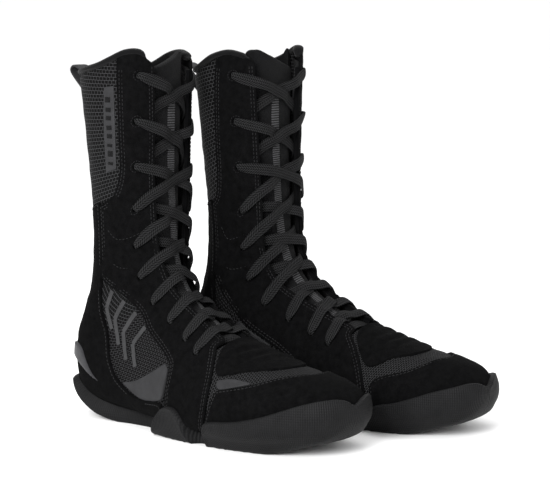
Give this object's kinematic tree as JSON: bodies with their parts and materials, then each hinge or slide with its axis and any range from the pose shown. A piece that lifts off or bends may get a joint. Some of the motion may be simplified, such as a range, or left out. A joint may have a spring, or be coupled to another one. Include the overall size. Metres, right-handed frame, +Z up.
{
  "type": "boxing boots",
  "caption": "Pair of tall lace-up boxing boots with a thin cupped rubber sole, suede overlays on mesh, a loose tongue, flat laces and a folded pull loop at the back.",
  "frame": {"origin": "centre of the pair's bounding box, on the floor under the soles", "axes": "+Z up, toes along -Y, the right boot on the -X side and the left boot on the +X side"},
  "size_m": [0.2292, 0.3342, 0.2984],
  "materials": {
    "rubber": "matte",
    "clip": "satin",
    "board": "matte",
    "insole": "matte",
    "lining": "matte",
    "mesh": "matte",
    "suede": "matte",
    "accent": "satin",
    "trim": "satin",
    "lace": "matte"
  },
  "bodies": {
    "right_boot": {"right_accent_ankle": "accent", "right_accent_forefoot": "accent", "right_accent_medial": "accent", "right_aglet_lateral": "trim", "right_aglet_medial": "trim", "right_ankle_mesh_lateral": "mesh", "right_ankle_mesh_medial": "mesh", "right_collar_binding": "suede", "right_collar_label": "accent", "right_collar_mesh": "mesh", "right_eyelet_facing_lateral": "trim", "right_eyelet_facing_medial": "trim", "right_heel_clip": "clip", "right_heel_counter": "board", "right_heel_suede": "suede", "right_insole": "insole", "right_lace": "lace", "right_lining_lateral": "lining", "right_lining_medial": "lining", "right_midsole": "board", "right_outsole": "rubber", "right_quarter_lateral": "suede", "right_quarter_medial": "suede", "right_toe_guard": "suede", "right_toe_puff": "board", "right_vamp_flex_panel": "suede", "right_vamp_mesh": "mesh"},
    "right_tongue": {"right_tongue": "mesh", "right_tongue_webbing": "trim"},
    "right_pull_loop": {"right_pull_loop": "trim"},
    "left_boot": {"left_accent_ankle": "accent", "left_accent_forefoot": "accent", "left_accent_medial": "accent", "left_aglet_lateral": "trim", "left_aglet_medial": "trim", "left_ankle_mesh_lateral": "mesh", "left_ankle_mesh_medial": "mesh", "left_collar_binding": "suede", "left_collar_label": "accent", "left_collar_mesh": "mesh", "left_eyelet_facing_lateral": "trim", "left_eyelet_facing_medial": "trim", "left_heel_clip": "clip", "left_heel_counter": "board", "left_heel_suede": "suede", "left_insole": "insole", "left_lace": "lace", "left_lining_lateral": "lining", "left_lining_medial": "lining", "left_midsole": "board", "left_outsole": "rubber", "left_quarter_lateral": "suede", "left_quarter_medial": "suede", "left_toe_guard": "suede", "left_toe_puff": "board", "left_vamp_flex_panel": "suede", "left_vamp_mesh": "mesh"},
    "left_tongue": {"left_tongue": "mesh", "left_tongue_webbing": "trim"},
    "left_pull_loop": {"left_pull_loop": "trim"}
  },
  "joints": [
    {"name": "right_tongue_hinge", "type": "hinge", "parent": "right_boot", "child": "right_tongue", "pos_m": [-0.05671, -0.01058, 0.07609], "axis": [-0.9973, 0.0732, 0], "range_deg": [0, 7]},
    {"name": "right_pull_loop_hinge", "type": "hinge", "parent": "right_boot", "child": "right_pull_loop", "pos_m": [-0.04549, 0.14166, 0.246], "axis": [-0.9973, 0.0732, 0], "range_deg": [0, 30]},
    {"name": "left_tongue_hinge", "type": "hinge", "parent": "left_boot", "child": "left_tongue", "pos_m": [0.05737, -0.04832, 0.07609], "axis": [-0.9987, -0.0506, 0], "range_deg": [0, 7]},
    {"name": "left_pull_loop_hinge", "type": "hinge", "parent": "left_boot", "child": "left_pull_loop", "pos_m": [0.04961, 0.10414, 0.246], "axis": [-0.9987, -0.0506, 0], "range_deg": [0, 30]},
    {"name": "left_boot_apart", "type": "slide", "parent": "right_boot", "child": "left_boot", "axis": [1, 0, 0], "range_m": [0, 0.06]}
  ]
}
